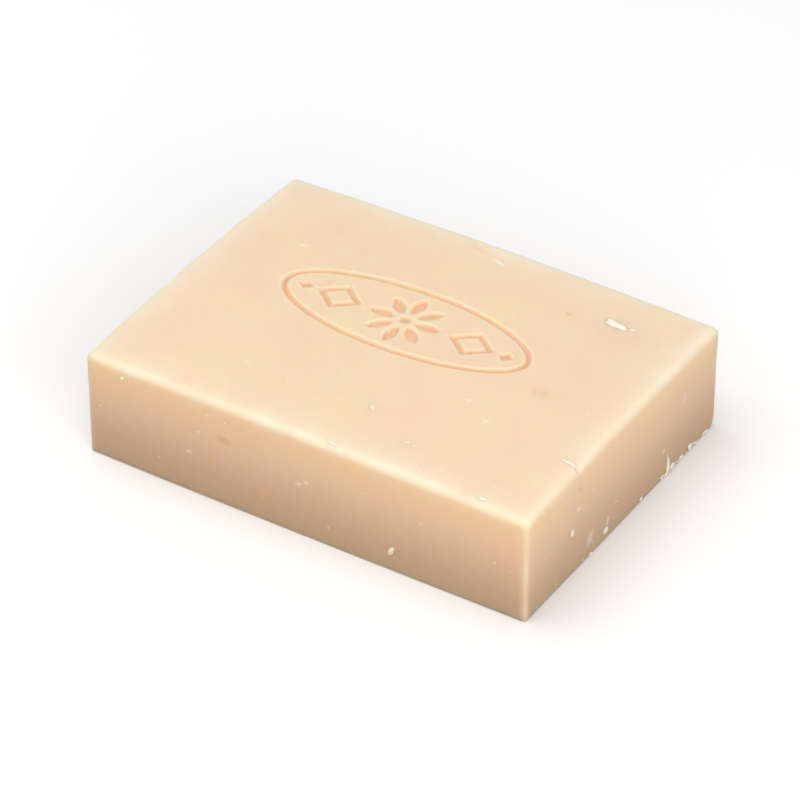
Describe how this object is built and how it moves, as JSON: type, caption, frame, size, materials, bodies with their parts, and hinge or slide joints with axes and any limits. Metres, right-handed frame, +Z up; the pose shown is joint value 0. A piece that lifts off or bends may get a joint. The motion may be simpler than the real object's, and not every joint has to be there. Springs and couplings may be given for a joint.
{
  "type": "bar of soap",
  "caption": "Hand-cut rectangular bar of cream soap with eased edges, a gently crowned top and a shallow pressed rosette ornament.",
  "frame": {"origin": "middle of the flat base the bar rests on", "axes": "+X along the bar's length, +Y across its width, +Z up through the crowned top with the pressed ornament"},
  "size_m": [0.0888, 0.0656, 0.022],
  "materials": {
    "soap": "satin, slightly waxy and translucent cream"
  },
  "bodies": {
    "root": {"soap_bar": "soap"}
  },
  "joints": []
}
